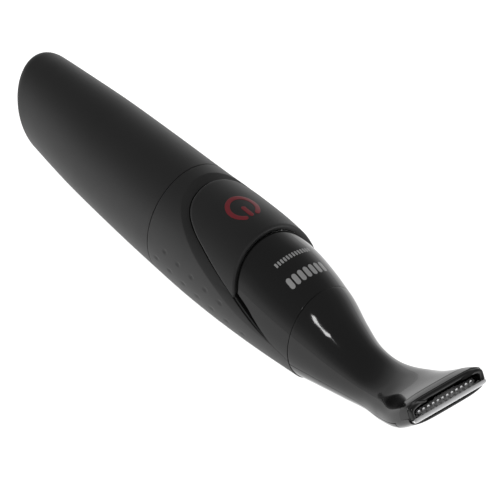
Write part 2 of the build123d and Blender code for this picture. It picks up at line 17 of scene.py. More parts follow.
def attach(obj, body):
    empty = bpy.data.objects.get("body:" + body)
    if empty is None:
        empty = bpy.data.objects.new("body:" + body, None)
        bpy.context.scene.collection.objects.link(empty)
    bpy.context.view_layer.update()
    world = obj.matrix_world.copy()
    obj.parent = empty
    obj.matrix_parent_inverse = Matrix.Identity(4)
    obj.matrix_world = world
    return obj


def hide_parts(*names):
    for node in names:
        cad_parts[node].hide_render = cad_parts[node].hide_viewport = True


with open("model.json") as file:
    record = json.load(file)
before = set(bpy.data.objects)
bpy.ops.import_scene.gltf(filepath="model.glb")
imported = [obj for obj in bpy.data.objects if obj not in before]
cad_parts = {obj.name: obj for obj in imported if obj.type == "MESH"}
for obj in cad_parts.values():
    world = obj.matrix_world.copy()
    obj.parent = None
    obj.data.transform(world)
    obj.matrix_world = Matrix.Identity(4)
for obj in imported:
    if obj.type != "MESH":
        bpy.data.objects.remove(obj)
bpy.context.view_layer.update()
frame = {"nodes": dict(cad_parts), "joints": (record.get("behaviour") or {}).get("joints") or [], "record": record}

MM = 0.001
joints = {joint["name"]: joint for joint in frame["joints"]}
ROTOR_AT = np.array((70.0, 0.0, -1.2))           # where the rotor joint stands, in stations
ORIGIN = np.array(joints["rotor_spin"]["pos_m"]) / MM - ROTOR_AT

# ---- Measures of the outside ------------------------------------------------------------

# station, radius, height of centre
BODY = np.array((
    (-14.0, 8.9, 0.1), (-6.3, 9.78, 0.1), (4.8, 11.03, -0.05), (15.0, 12.05, -0.15),
    (30.0, 13.0, -0.2), (49.0, 13.83, -0.05), (60.0, 14.25, 0.3), (70.0, 14.17, 0.55),
    (77.0, 13.68, 0.4), (84.0, 12.7, -0.25), (90.0, 11.6, -0.98), (95.0, 10.7, -1.5),
    (100.0, 9.9, -2.0),
))
NOSE = np.array((
    (66.0, 12.8, 0.45), (74.0, 12.85, 0.45), (80.0, 12.8, 0.15), (86.0, 12.22, -0.5),
    (93.0, 11.02, -1.32), (98.0, 10.15, -1.85),
))
# station, centre height, lean, half width, half height, squareness above and below
HEAD = np.array((
    (88.0, -0.78, 0.0, 11.95, 11.95, 2.0, 2.0), (92.5, -1.25, 0.0, 11.12, 11.1, 2.0, 2.0),
    (99.5, -2.15, 0.0, 9.1, 8.8, 2.0, 2.0), (106.5, -2.35, 6.0, 7.5, 6.95, 2.0, 2.0),
    (113.3, -1.07, 18.0, 7.6, 5.25, 2.1, 2.2), (119.8, 1.42, 28.0, 9.5, 4.65, 2.2, 2.6),
    (126.0, 5.48, 34.0, 11.55, 3.95, 2.7, 3.2), (130.3, 9.82, 36.0, 12.14, 2.97, 5.0, 4.0),
))
# The leaning planes of the rear face, the cap's seam and the neck's seam: station, degrees.
REAR_X, REAR_LEAN = -2.45, 34.0
SEAM_X, SEAM_LEAN = 48.4, 12.0
NECK_X, NECK_LEAN = 92.8, 12.0
WALL = 1.5
SKIN_GAP = 0.07                                  # from a seam's plane to each of its edges
EDGE_STEPS = (0.0, 0.02, 0.06, 0.12)             # stations across the rounding of a seam's edge
EDGE_ROUND = EDGE_STEPS[-1]
KEY_ROWS = 150                                   # samples of the key's edge on one side
REST_Z = -13.65                                  # the flat on the back that the object rests on
ARC_RADIUS = 13.0                                # turns angles into lengths along the skin
LEAST_WALL = 0.05                                # the thinnest that a shell gets
WELD = 2e-6                                      # metres

# Curves on the skin, each half of them as (station, angle from the key side in degrees): the
# shell's edge beside the key, the line where the shell begins to slope down to that edge, the
# key's front edge, and the nose's edge from under the key's front onwards.
KEY_EDGE = (
    (51.5, 0.0), (51.6, 7.0), (52.05, 17.0), (52.75, 26.0), (53.9, 34.0), (55.6, 41.0),
    (58.6, 48.6), (64.1, 58.0), (70.0, 67.5), (74.7, 74.8), (79.0, 82.0), (83.0, 88.0),
    (88.2, 94.2), (94.6, 103.5),
)
BEVEL_EDGE = (
    (48.8, 0.0), (49.0, 10.0), (49.8, 22.0), (50.7, 31.0), (52.4, 40.0), (56.3, 53.0),
    (63.0, 68.0), (69.5, 78.2), (75.7, 87.0), (79.1, 91.0), (84.0, 94.0), (89.0, 98.0),
    (94.6, 104.5),
)
KEY_FRONT = (
    (71.75, 0.0), (71.85, 12.0), (72.25, 28.0), (73.2, 45.0), (74.6, 60.0), (76.0, 71.0),
    (76.6, 77.0),
)
NOSE_EDGE = (
    (75.6, 70.0), (79.2, 74.3), (82.4, 80.8), (85.8, 88.6), (88.2, 93.8), (94.6, 103.1),
)


def smooth(table, x):
    """Columns of a table against its first column, along a smooth curve through its rows."""
    table = np.asarray(table, float)
    x = np.asarray(x, float)
    knots, rows = table[:, 0], table[:, 1:]
    slopes = np.gradient(rows, knots, axis=0)
    at = np.clip(np.searchsorted(knots, x) - 1, 0, len(knots) - 2)
    step = knots[at + 1] - knots[at]
    t = ((x - knots[at]) / step)[..., None]
    a, b = rows[at], rows[at + 1]
    da, db = slopes[at] * step[..., None], slopes[at + 1] * step[..., None]
    return (
        (2 * t**3 - 3 * t**2 + 1) * a + (t**3 - 2 * t**2 + t) * da
        + (-2 * t**3 + 3 * t**2) * b + (t**3 - t**2) * db
    )


def skin(x, angle, table=BODY, depth=0.0):
    """Points on the handle at stations and angles (radians), some depth under its surface."""
    x, angle = np.broadcast_arrays(x, angle)
    radius, height = np.moveaxis(smooth(table, x), -1, 0)
    return np.stack([
        x,
        (radius - depth) * np.sin(angle),
        height + (radius - depth) * np.cos(angle),
    ], -1)


def station_on(plane_x, lean, angle, table=BODY):
    """The station where a leaning plane cuts the handle's surface at each angle."""
    slope = math.tan(math.radians(lean))
    x = np.full_like(angle, plane_x)
    for _ in range(6):
        x = plane_x - slope * skin(x, angle, table)[..., 2]
    return x


# ---- Meshes -----------------------------------------------------------------------------

def build(name, points, faces, body, material, sharp=35.0):
    """A piece from points in stations, shaded smooth up to an angle, riding on a body."""
    points = (np.asarray(points).reshape(-1, 3) + ORIGIN) * MM
    mesh = bpy.data.meshes.new(name)
    mesh.from_pydata(points.tolist(), [], faces)
    work = bmesh.new()
    work.from_mesh(mesh)
    bmesh.ops.remove_doubles(work, verts=work.verts, dist=WELD)
    bmesh.ops.recalc_face_normals(work, faces=work.faces)
    work.to_mesh(mesh)
    work.free()
    mesh.polygons.foreach_set("use_smooth", [True] * len(mesh.polygons))
    mesh.set_sharp_from_angle(angle=math.radians(sharp))
    mesh.materials.append(material)
    piece = bpy.data.objects.new(name, mesh)
    bpy.context.scene.collection.objects.link(piece)
    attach(piece, body)
    return piece


def grid_faces(rows, columns, start=0, wrap=False, flip=False):
    """Quads of a grid of points, with the last row joined to the first if it wraps."""
    faces = []
    for i in range(rows if wrap else rows - 1):
        for j in range(columns - 1):
            k = (i + 1) % rows
            quad = (
                start + i * columns + j, start + i * columns + j + 1,
                start + k * columns + j + 1, start + k * columns + j,
            )
            faces.append(quad[::-1] if flip else quad)
    return faces


def thick_sheet(outer, inner, wrap):
    """A closed solid between two grids of points of the same shape."""
    rows, columns = outer.shape[:2]
    count = rows * columns
    faces = grid_faces(rows, columns, 0, wrap) + grid_faces(rows, columns, count, wrap, True)
    for i in range(rows if wrap else rows - 1):
        k = (i + 1) % rows
        for j in (0, columns - 1):
            faces.append((i * columns + j, k * columns + j,
                          count + k * columns + j, count + i * columns + j))
    if not wrap:
        for j in range(columns - 1):
            for i in (0, rows - 1):
                faces.append((i * columns + j, i * columns + j + 1,
                              count + i * columns + j + 1, count + i * columns + j))
    return np.concatenate([outer.reshape(-1, 3), inner.reshape(-1, 3)]), faces


def joined(*solids):
    """The points and faces of several solids as those of one mesh."""
    points, faces = np.zeros((0, 3)), []
    for more, more_faces in solids:
        faces += [tuple(i + len(points) for i in face) for face in more_faces]
        points = np.concatenate([points, more])
    return points, faces


def eased(distance, radius):
    """How far a rounded edge of that radius falls away at a distance from the edge."""
    reach = np.clip(radius - distance, 0, radius)
    return radius - np.sqrt(np.maximum(radius**2 - reach**2, 0))


def along(curve, count):
    """Even samples of a curve of (station, angle in degrees), as stations and radians."""
    curve = np.asarray(curve, float)
    scaled = np.stack([curve[:, 0], np.radians(curve[:, 1]) * ARC_RADIUS], -1)
    run = np.concatenate([[0], np.cumsum(np.hypot(*np.diff(scaled, axis=0).T))])
    table = np.column_stack([run, curve[:, 0], np.radians(curve[:, 1])])
    x, angle = smooth(table, np.linspace(0, run[-1], count)).T
    return x, angle


def station_at(curve, angle):
    """The station of a curve of (station, angle in degrees) at each angle (radians)."""
    curve = np.asarray(curve, float)
    table = np.column_stack([curve[:, 1], curve[:, 0]])
    degrees = np.clip(np.degrees(np.abs(angle)), table[0, 0], table[-1, 0])
    return smooth(table, degrees)[..., 0]


def mirrored(angle):
    """Angles from 0 up, with their mirror images before them."""
    return np.concatenate([-angle[:0:-1], angle])


# ---- Materials --------------------------------------------------------------------------

COAT_ROUGHNESS = 0.05
GRAIN_HEIGHT = 0.00002                           # metres


def surface(name, colour, roughness, metallic=0.0, grain=0.0, grain_size=0.15, mottle=0.0,
            mottle_size=4.0, coat=0.0, specular=0.5):
    """A procedural finish: one colour, with a slow mottle of its roughness and a fine grain."""
    material = bpy.data.materials.new(name)
    material.use_nodes = True
    nodes, links = material.node_tree.nodes, material.node_tree.links
    shader = nodes["Principled BSDF"]
    shader.inputs["Base Color"].default_value = (*colour, 1)
    shader.inputs["Roughness"].default_value = roughness
    shader.inputs["Metallic"].default_value = metallic
    shader.inputs["Coat Weight"].default_value = coat
    shader.inputs["Coat Roughness"].default_value = COAT_ROUGHNESS
    shader.inputs["Specular IOR Level"].default_value = specular
    place = nodes.new("ShaderNodeTexCoord")
    if mottle:
        slow = nodes.new("ShaderNodeTexNoise")
        slow.inputs["Scale"].default_value = 1 / (mottle_size * MM)
        slow.inputs["Detail"].default_value = 4
        links.new(place.outputs["Object"], slow.inputs["Vector"])
        spread = nodes.new("ShaderNodeMapRange")
        spread.inputs["To Min"].default_value = roughness - mottle
        spread.inputs["To Max"].default_value = roughness + mottle
        links.new(slow.outputs["Fac"], spread.inputs["Value"])
        links.new(spread.outputs["Result"], shader.inputs["Roughness"])
    if grain:
        fine = nodes.new("ShaderNodeTexNoise")
        fine.inputs["Scale"].default_value = 1 / (grain_size * MM)
        fine.inputs["Detail"].default_value = 3
        links.new(place.outputs["Object"], fine.inputs["Vector"])
        bump = nodes.new("ShaderNodeBump")
        bump.inputs["Strength"].default_value = grain
        bump.inputs["Distance"].default_value = GRAIN_HEIGHT
        links.new(fine.outputs["Fac"], bump.inputs["Height"])
        links.new(bump.outputs["Normal"], shader.inputs["Normal"])
    return material


MATT = dict(grain=0.25, grain_size=0.16, mottle=0.03)
finishes = {
    "cap_black": surface("cap_black", (0.012, 0.012, 0.012), 0.52, **MATT),
    "shell_black": surface("shell_black", (0.013, 0.013, 0.013), 0.52, **MATT),
    "key_black": surface("key_black", (0.010, 0.010, 0.010), 0.5, **MATT),
    "nose_black": surface("nose_black", (0.0085, 0.0085, 0.0085), 0.1, mottle=0.02, specular=0.42),
    "head_black": surface("head_black", (0.008, 0.008, 0.008), 0.08, mottle=0.02, specular=0.45),
    "carrier_black": surface("carrier_black", (0.008, 0.008, 0.008), 0.16, mottle=0.03),
    "sign_red": surface("sign_red", (0.24, 0.016, 0.026), 0.34, grain=0.1, mottle=0.03),
    "print_grey": surface("print_grey", (0.42, 0.42, 0.42), 0.45, mottle=0.04, mottle_size=1.0),
    "frame_grey": surface("frame_grey", (0.02, 0.02, 0.022), 0.5, grain=0.2, mottle=0.04),
    "cell_sleeve": surface("cell_sleeve", (0.03, 0.09, 0.24), 0.25, mottle=0.04, coat=0.4),
    "contact_nickel": surface("contact_nickel", (0.62, 0.6, 0.56), 0.3, 1.0,
                              mottle=0.08, grain=0.1),
    "can_steel": surface("can_steel", (0.55, 0.56, 0.57), 0.34, 1.0, mottle=0.1, grain=0.15),
    "bell_white": surface("bell_white", (0.7, 0.7, 0.66), 0.45, grain=0.2, mottle=0.03),
    "magnet_grey": surface("magnet_grey", (0.05, 0.05, 0.055), 0.6, grain=0.4, mottle=0.06),
    "bush_bronze": surface("bush_bronze", (0.45, 0.28, 0.12), 0.42, 1.0, grain=0.4, mottle=0.08),
    "shaft_steel": surface("shaft_steel", (0.6, 0.61, 0.62), 0.22, 1.0, mottle=0.06),
    "copper": surface("copper", (0.72, 0.36, 0.2), 0.28, 1.0, mottle=0.08),
    "acetal_white": surface("acetal_white", (0.72, 0.72, 0.68), 0.42, grain=0.15, mottle=0.03),
    "board_green": surface("board_green", (0.01, 0.08, 0.03), 0.35, mottle=0.06, grain=0.1),
    "switch_black": surface("switch_black", (0.015, 0.015, 0.015), 0.45, grain=0.2, mottle=0.04),
    "guard_steel": surface("guard_steel", (0.9, 0.9, 0.91), 0.16, 1.0,
                           mottle=0.05, mottle_size=1.0),
    "plate_steel": surface("plate_steel", (0.5, 0.5, 0.5), 0.45, 0.3, mottle=0.06, mottle_size=1.0),
}


# ---- Cap --------------------------------------------------------------------------------

REAR_ROUND, REAR_ROUND_INSIDE = 1.6, 0.6
REAR_MIDDLE_Z = 0.1
REAR_OVAL = 0.045                                # the share by which the rear end is narrower
OVAL_TALL = 1.3                                  # its growth in height, against that share
OVAL_END, OVAL_RUN = 21.0, 24.0
SEAM_BAND = 0.2


def oval_skin(x, angle, depth=0.0):
    """The handle's surface, a little taller than wide towards the rear end."""
    point = skin(x, angle, BODY, depth)
    height = smooth(BODY, point[..., 0])[..., 1]
    share = REAR_OVAL * np.clip((OVAL_END - point[..., 0]) / OVAL_RUN, 0, 1)
    point[..., 1] *= 1 - share
    point[..., 2] = height + (point[..., 2] - height) * (1 + OVAL_TALL * share)
    return point


def cap_grid(depth, angle, rounding):
    """The cap's profile for every angle: rear face, rounded rim, side, and seam edge."""
    slope = math.tan(math.radians(REAR_LEAN))
    plane = REAR_X + depth / math.cos(math.radians(REAR_LEAN))
    corner_x = np.full_like(angle, plane)
    for _ in range(8):
        corner_x = plane - slope * oval_skin(corner_x, angle, depth)[..., 2]
    corner = oval_skin(corner_x, angle, depth)
    middle = np.zeros_like(corner)
    middle[:, 0], middle[:, 2] = plane - slope * REAR_MIDDLE_Z, REAR_MIDDLE_Z
    inward = middle - corner
    inward /= np.linalg.norm(inward, axis=1)[:, None]
    ahead = oval_skin(corner_x + 1, angle, depth) - corner
    ahead /= np.linalg.norm(ahead, axis=1)[:, None]
    half = np.arccos(np.clip((inward * ahead).sum(1), -1, 1)) / 2
    reach = (rounding / np.tan(half))[:, None]
    first = corner + inward * reach
    columns = [middle + (first - middle) * f for f in (0, 0.25, 0.5, 0.75, 0.9, 0.97)]
    for t in np.linspace(0, 1, 10):
        columns.append((1 - t)**2 * first + 2 * t * (1 - t) * corner
                       + t**2 * (corner + ahead * reach))
    start = (corner + ahead * reach)[:, 0]
    seam = station_on(SEAM_X, SEAM_LEAN, angle) - SKIN_GAP
    for f in np.linspace(0.02, 1, 60):
        columns.append(oval_skin(start + (seam - SEAM_BAND - start) * f, angle, depth))
    rounded = 0.0 if depth else 1.0
    for distance in EDGE_STEPS[::-1]:
        fall = rounded * eased(distance, EDGE_ROUND)
        columns.append(oval_skin(seam - distance, angle, depth + fall))
    grid = np.stack(columns, 1)
    grid[..., 2] = np.maximum(grid[..., 2], REST_Z + depth)
    return grid


def cap():
    """The battery cap, a closed cup."""
    angle = np.linspace(0, 2 * math.pi, 240, endpoint=False)
    outer = cap_grid(0, angle, REAR_ROUND)
    inner = cap_grid(WALL, angle, REAR_ROUND_INSIDE)
    points, faces = thick_sheet(outer, inner, True)
    piece = build("battery_cap_shell", points, faces, "cap", finishes["cap_black"])
    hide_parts("battery_cap")


# ---- Shell under the key ----------------------------------------------------------------

# Rows of dimples: first station, first angle, count, and the angle's growth at each step.
DIMPLES = ((54.4, 84.6, 5, 1.6), (52.1, 100.0, 7, 1.9))
DIMPLE_PITCH, DIMPLE_DEPTH = 4.7, 0.2
DIMPLE_LONG, DIMPLE_WIDE = 0.9, 0.75             # half lengths
GRIP_RADIUS = 13.8
BEVEL_DEPTH, BEVEL_LEAST, BEVEL_SOFT = 1.0, 0.02, 0.02
BEVEL_END, BEVEL_RUN = 89.0, 14.0                # where the bevel has faded out, and over how far
BEVEL_SHARES = (0.04, 0.1, 0.2, 0.35, 0.5, 0.65, 0.8, 0.86)
GUTTER_DEPTH, GUTTER_BEVEL = 0.42, 0.5           # full depth where the bevel is at least so deep
GUTTER_AT, GUTTER_FLOOR = 0.875, 0.9             # shares of the bevel's width and depth
# The spigot under the cap, as (how far ahead of the seam, how deep), and its inner depth.
SPIGOT = ((-4.5, 1.85), (-4.3, 1.65), (-0.2, 1.65), (0.2, 1.65), (0.25, 1.2), (1.3, 1.2))
SPIGOT_INNER = 2.85
SHELL_FLOOR = 1.2                                # the shell's thickness at the resting flat


def dimple_depth(x, angle):
    """How deep the grip dimples are at each point, long and shallow."""
    depth = np.zeros_like(x)
    for first, turn, count, growth in DIMPLES:
        for step in range(count):
            along_x = x - first - step * DIMPLE_PITCH
            across = (np.abs(angle) - math.radians(turn + step * growth)) * GRIP_RADIUS
            spread = (along_x / DIMPLE_LONG)**2 + (across / DIMPLE_WIDE)**2
            depth += DIMPLE_DEPTH * np.clip(1 - spread, 0, 1)**1.5
    return depth


def rear_shell():
    """The shell behind and below the key, with the sloping channel beside the key."""
    _, angle_edge = along(KEY_EDGE, KEY_ROWS)
    last = angle_edge[-1]
    rest = np.linspace(last, math.pi, 62)[1:]
    half = np.concatenate([angle_edge, rest])
    angle = np.concatenate([half, -half[-2:0:-1]])
    turn = np.abs(angle)
    neck = station_on(NECK_X, NECK_LEAN, angle) - SKIN_GAP
    seam = station_on(SEAM_X, SEAM_LEAN, angle) + SKIN_GAP
    edge = np.where(turn < last, np.minimum(station_at(KEY_EDGE, turn), neck), neck)
    bevel = np.minimum(station_at(BEVEL_EDGE, turn), edge - BEVEL_LEAST)
    deep = BEVEL_DEPTH * np.clip((BEVEL_END - edge) / BEVEL_RUN, 0, 1)
    columns, depths = [], []

    def add(x, depth):
        columns.append(x)
        depths.append(depth)

    for distance in EDGE_STEPS:
        add(seam + distance, np.full_like(seam, eased(distance, EDGE_ROUND)))
    for f in np.linspace(0, 1, 92)[1:]:
        x = seam + EDGE_ROUND + (bevel - seam - EDGE_ROUND) * f
        add(x, dimple_depth(x, angle))
    gutter = GUTTER_DEPTH * np.clip(deep / GUTTER_BEVEL, 0, 1)
    for f in BEVEL_SHARES:
        x = bevel + (edge - bevel) * f
        add(x, deep * (f - BEVEL_SOFT * min(f / 0.1, 1)) + dimple_depth(x, angle) * (1 - f))
    add(bevel + (edge - bevel) * GUTTER_AT, deep * GUTTER_FLOOR + gutter)
    for drop in (0.0, 0.05, 0.2, 0.6, 1.2):
        add(edge, deep + gutter + drop)
    x, depth = np.stack(columns, 1), np.stack(depths, 1)
    outer = skin(x, angle[:, None], BODY, depth)
    thicker = WALL + 0.9 * (depth > LEAST_WALL)
    inner = skin(x, angle[:, None], BODY, np.maximum(depth + LEAST_WALL, thicker))
    for grid, extra in ((outer, 0.0), (inner, SHELL_FLOOR)):
        grid[..., 2] = np.maximum(grid[..., 2], REST_Z + extra)
    shell = thick_sheet(outer, inner, True)
    ring = np.linspace(0, 2 * math.pi, 160, endpoint=False)
    seam = station_on(SEAM_X, SEAM_LEAN, ring)
    outer = np.stack([skin(seam + ahead, ring, BODY, depth) for ahead, depth in SPIGOT], 1)
    inner = np.stack([skin(seam + ahead, ring, BODY, SPIGOT_INNER) for ahead, _ in SPIGOT], 1)
    points, faces = joined(shell, thick_sheet(outer, inner, True))
    piece = build("rear_shell_body", points, faces, "handle", finishes["shell_black"])
    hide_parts("rear_shell")


# ---- Key and its sign -------------------------------------------------------------------

KEY_RADIUS = 13.5
KEY_GAP, KEY_GAP_MORE = 0.2, 0.25                # the gap widens along the key's sides
KEY_GAP_FROM, KEY_GAP_RUN = 72, 8
KEY_LEAST = 0.4
# Distances from the rear and front edges at which the key's rounding has its columns.
KEY_REAR_STEPS = (0.0, 0.03, 0.08, 0.16, 0.26, 0.4)
KEY_FRONT_STEPS = (0.55, 0.4, 0.27, 0.16, 0.08, 0.03, 0.0)
KEY_REAR_ROUND, KEY_FRONT_ROUND = 0.4, 0.55
KEY_HALF = 0.45                                  # the most of a short row that one rounding takes
KEY_SKIRT, KEY_SKIRT_LEAST, KEY_SKIRT_FRONT = 0.64, 0.1, 0.6
KEY_SKIRT_END, KEY_SKIRT_RUN = 87.0, 14.0


def key_rows():
    """The key's rows: angle, stations of the rear and front edges, and the rear edge's lean."""
    x_edge, angle = along(KEY_EDGE, KEY_ROWS)
    lean = np.hypot(1.0, np.gradient(x_edge, angle * KEY_RADIUS))
    lean[0] = lean[1]
    widening = np.clip((x_edge - KEY_GAP_FROM) / KEY_GAP_RUN, 0, 1)
    rear = x_edge + (KEY_GAP + KEY_GAP_MORE * widening) * lean
    front = station_at(KEY_FRONT, angle)
    keep = front - rear > KEY_LEAST
    return angle[keep], rear[keep], front[keep], lean[keep]


def key():
    """The press panel."""
    angle, rear, front, lean = key_rows()
    angle = mirrored(angle)
    rear, front, lean = (np.concatenate([row[:0:-1], row]) for row in (rear, front, lean))
    length = front - rear
    columns, depths = [], []
    skirt = np.clip(KEY_SKIRT * (KEY_SKIRT_END - rear) / KEY_SKIRT_RUN, KEY_SKIRT_LEAST, KEY_SKIRT)
    for share in (1.0, 0.7):
        columns.append(rear)
        depths.append(skirt * share)
    for distance in KEY_REAR_STEPS:
        most = KEY_HALF * length * distance / KEY_REAR_ROUND
        columns.append(rear + np.minimum(distance * lean, most))
        depths.append(np.full_like(rear, eased(distance, KEY_REAR_ROUND)))
    start = columns[-1]
    end = front - np.minimum(KEY_FRONT_ROUND, KEY_HALF * length)
    for f in np.linspace(0, 1, 42)[1:-1]:
        columns.append(start + (end - start) * f)
        depths.append(np.zeros_like(rear))
    for distance in KEY_FRONT_STEPS:
        most = KEY_HALF * length * distance / KEY_FRONT_ROUND
        columns.append(front - np.minimum(distance, most))
        depths.append(np.full_like(rear, eased(distance, KEY_FRONT_ROUND)))
    front_skirt = skirt + KEY_SKIRT_FRONT * np.clip((length - 1.5) / 4.0, 0, 1)
    for share in (0.75, 1.0):
        columns.append(front)
        depths.append(np.maximum(front_skirt * share, KEY_FRONT_ROUND * 1.02))
    x, depth = np.stack(columns, 1), np.stack(depths, 1)
    outer = skin(x, angle[:, None], BODY, depth)
    inner = skin(x, angle[:, None], BODY, np.maximum(depth + 0.04, skirt[:, None] + 0.08))
    points, faces = thick_sheet(outer, inner, False)
    piece = build("key_panel", points, faces, "key", finishes["key_black"])
    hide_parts("power_button")


ICON_X, ICON_RADIUS, ICON_STROKE = 62.9, 4.1, 1.15
ICON_GAP_HALF = math.radians(31.0)
ICON_BAR = (ICON_X + 0.3, ICON_X + 2.9)


def on_key(plan, lift):
    """Points of the plan (x, y) laid on the key's surface."""
    radius, height = np.moveaxis(smooth(BODY, plan[..., 0]), -1, 0)
    z = height + np.sqrt((radius + lift)**2 - plan[..., 1]**2)
    return np.concatenate([plan, z[..., None]], -1)


# Half of a ribbon's section: share of its half width, share of its rise.
RIBBON_SECTION = (
    (-1, 0.0), (-1, 0.6), (-0.92, 0.9), (-0.75, 1.0), (0, 1.0),
    (0.75, 1.0), (0.92, 0.9), (1, 0.6), (1, 0.0),
)
RIBBON_END = 7                                   # columns at each round end


def ribbon(line, width, place, rise=0.05, depth=0.3):
    """A thin raised ribbon with round ends, laid on a surface by the place function."""
    line = np.asarray(line, float)
    tangent = np.gradient(line, axis=0)
    tangent /= np.linalg.norm(tangent, axis=1)[:, None]
    normal = np.stack([-tangent[:, 1], tangent[:, 0]], -1)
    centres, halves = [], []
    for t in np.linspace(0, 1, RIBBON_END):
        a = (1 - t) * math.pi / 2
        centres.append(line[0] - tangent[0] * width / 2 * math.sin(a))
        halves.append(math.cos(a))
    sides = [normal[0]] * RIBBON_END
    for point, side in zip(line[1:-1], normal[1:-1]):
        centres.append(point)
        halves.append(1.0)
        sides.append(side)
    for t in np.linspace(0, 1, RIBBON_END):
        a = t * math.pi / 2
        centres.append(line[-1] + tangent[-1] * width / 2 * math.sin(a))
        halves.append(math.cos(a))
        sides.append(normal[-1])
    centres, halves, sides = np.array(centres), np.array(halves) * width / 2, np.array(sides)
    outer, inner = [], []
    for across, up in RIBBON_SECTION:
        plan = centres + sides * (halves * across)[:, None]
        outer.append(place(plan, rise * up - depth * (up == 0)))
        inner.append(place(plan, -depth - 0.02))
    return thick_sheet(np.stack(outer, 1), np.stack(inner, 1), False)


def sign():
    """The sign on the key: an open ring, and a bar that stands in its gap."""
    radius = ICON_RADIUS - ICON_STROKE / 2
    turns = np.linspace(ICON_GAP_HALF, 2 * math.pi - ICON_GAP_HALF, 90)
    ring = np.stack([ICON_X + radius * np.cos(turns), radius * np.sin(turns)], -1)
    bar = np.stack([np.linspace(*ICON_BAR, 8), np.zeros(8)], -1)
    points, faces = joined(*(ribbon(line, ICON_STROKE, on_key) for line in (ring, bar)))
    piece = build("key_sign", points, faces, "key", finishes["sign_red"])
    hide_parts("power_symbol")


# ---- Nose -------------------------------------------------------------------------------

NOSE_EDGE_STEPS = (0.0, 0.05, 0.12, 0.22)
NOSE_EDGE_SPREAD, NOSE_LONG = 2.0, 18.0          # its rounding is wider where the row is longer
TUCK_BEHIND, TUCK_STEP, TUCK_DEPTH = 0.8, 0.78, 0.75
EDGE_DEPTH, EDGE_TOP = 0.9, 0.5
NECK_BAND = 0.14
# The deck under the key: the stations it spans, its last station, and its two depths.
DECK_FROM, DECK_TO, DECK_LAST, DECK_BEHIND = 53.0, 91.0, 90.9, 0.3
DECK_TOP, DECK_UNDER = 2.9, 4.0


def nose():
    """The gloss nose ahead of the key, tucked under the key's front, and the deck under the key."""
    low = math.radians(NOSE_EDGE[0][1])
    top = np.linspace(0, low, 60)[:-1]
    _, side = along(NOSE_EDGE, 80)
    turn = np.concatenate([top, side])
    under_key = station_at(KEY_FRONT, turn) - TUCK_BEHIND
    start = np.where(turn < low, under_key, station_at(NOSE_EDGE, turn))
    angle = mirrored(turn)
    start = np.concatenate([start[:0:-1], start])
    neck = station_on(NECK_X, NECK_LEAN, angle, NOSE) - SKIN_GAP
    start = np.minimum(start, neck - 0.05)
    open_edge = (np.abs(angle) >= low).astype(float)
    covered = 1 - open_edge
    tucked = covered * TUCK_DEPTH
    columns, depths = [start], [open_edge * EDGE_DEPTH + tucked]
    columns.append(start + covered * TUCK_STEP)
    depths.append(open_edge * EDGE_TOP + tucked)
    start = start + covered * TUCK_BEHIND
    for distance in NOSE_EDGE_STEPS:
        columns.append(start + distance * (neck - start) / NOSE_LONG * NOSE_EDGE_SPREAD)
        depths.append(np.full_like(neck, eased(distance, NOSE_EDGE_STEPS[-1])))
    begin = columns[-1]
    for f in np.linspace(0, 1, 70)[1:]:
        columns.append(begin + (neck - NECK_BAND - begin) * f)
        depths.append(np.zeros_like(begin))
    for distance in EDGE_STEPS[::-1]:
        columns.append(neck - distance * (neck - start) / (neck - start + 0.01))
        depths.append(np.full_like(begin, eased(distance, EDGE_ROUND)))
    x, depth = np.stack(columns, 1), np.stack(depths, 1)
    outer = skin(x, angle[:, None], NOSE, depth)
    inner = skin(x, angle[:, None], NOSE, np.maximum(WALL, depth + LEAST_WALL))
    panel = thick_sheet(outer, inner, False)
    turn = mirrored(np.radians(np.linspace(0, 97, 60)))
    x = np.linspace(DECK_FROM, DECK_TO, 60)[None, :] + np.zeros((len(turn), 1))
    reach = station_at(KEY_EDGE, np.abs(turn))[:, None]
    x = np.maximum(x, np.minimum(reach + DECK_BEHIND, DECK_LAST))
    outer = skin(x, turn[:, None], BODY, DECK_TOP)
    inner = skin(x, turn[:, None], BODY, DECK_UNDER)
    points, faces = joined(panel, thick_sheet(outer, inner, False))
    piece = build("nose_panel", points, faces, "handle", finishes["nose_black"])
    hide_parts("front_shell")


def on_nose(plan, lift):
    """Points of the plan (station, arc length) laid on the nose."""
    radius = smooth(NOSE, plan[..., 0])[..., 0]
    return skin(plan[..., 0], plan[..., 1] / radius, NOSE, -lift)


# Rows of bars: station, first and last place across, count, width, height.
PRINT_ROWS = ((85.1, -5.2, 5.2, 7, 1.25, 2.6), (79.8, -4.9, 5.6, 13, 0.55, 1.15))
BAR_STRAIGHT = 0.6                               # the straight share of a bar's height
BAR_RISE, BAR_DEPTH = 0.03, 0.1


def nose_print():
    """Plain light bars on the nose, where the photographed object has its print."""
    bars = []
    for station, first, last, count, width, tall in PRINT_ROWS:
        for across in np.linspace(first, last, count):
            line = [(station + tall * (f - 0.5) * BAR_STRAIGHT, across)
                    for f in np.linspace(0, 1, 5)]
            bars.append(ribbon(line, width, on_nose, BAR_RISE, BAR_DEPTH))
    points, faces = joined(*bars)
    build("nose_print", points, faces, "handle", finishes["print_grey"])


# ---- Head -------------------------------------------------------------------------------

BLADE_AT = np.array((131.92, 0.0, 9.29))
BLADE_LEAN = math.radians(36.0)
FORWARD = np.array((math.cos(BLADE_LEAN), 0.0, math.sin(BLADE_LEAN)))
UPWARD = np.array((-math.sin(BLADE_LEAN), 0.0, math.cos(BLADE_LEAN)))
ACROSS = np.array((0.0, 1.0, 0.0))
MOUTH_X = HEAD[-1, 0]
PARTING = 0.3


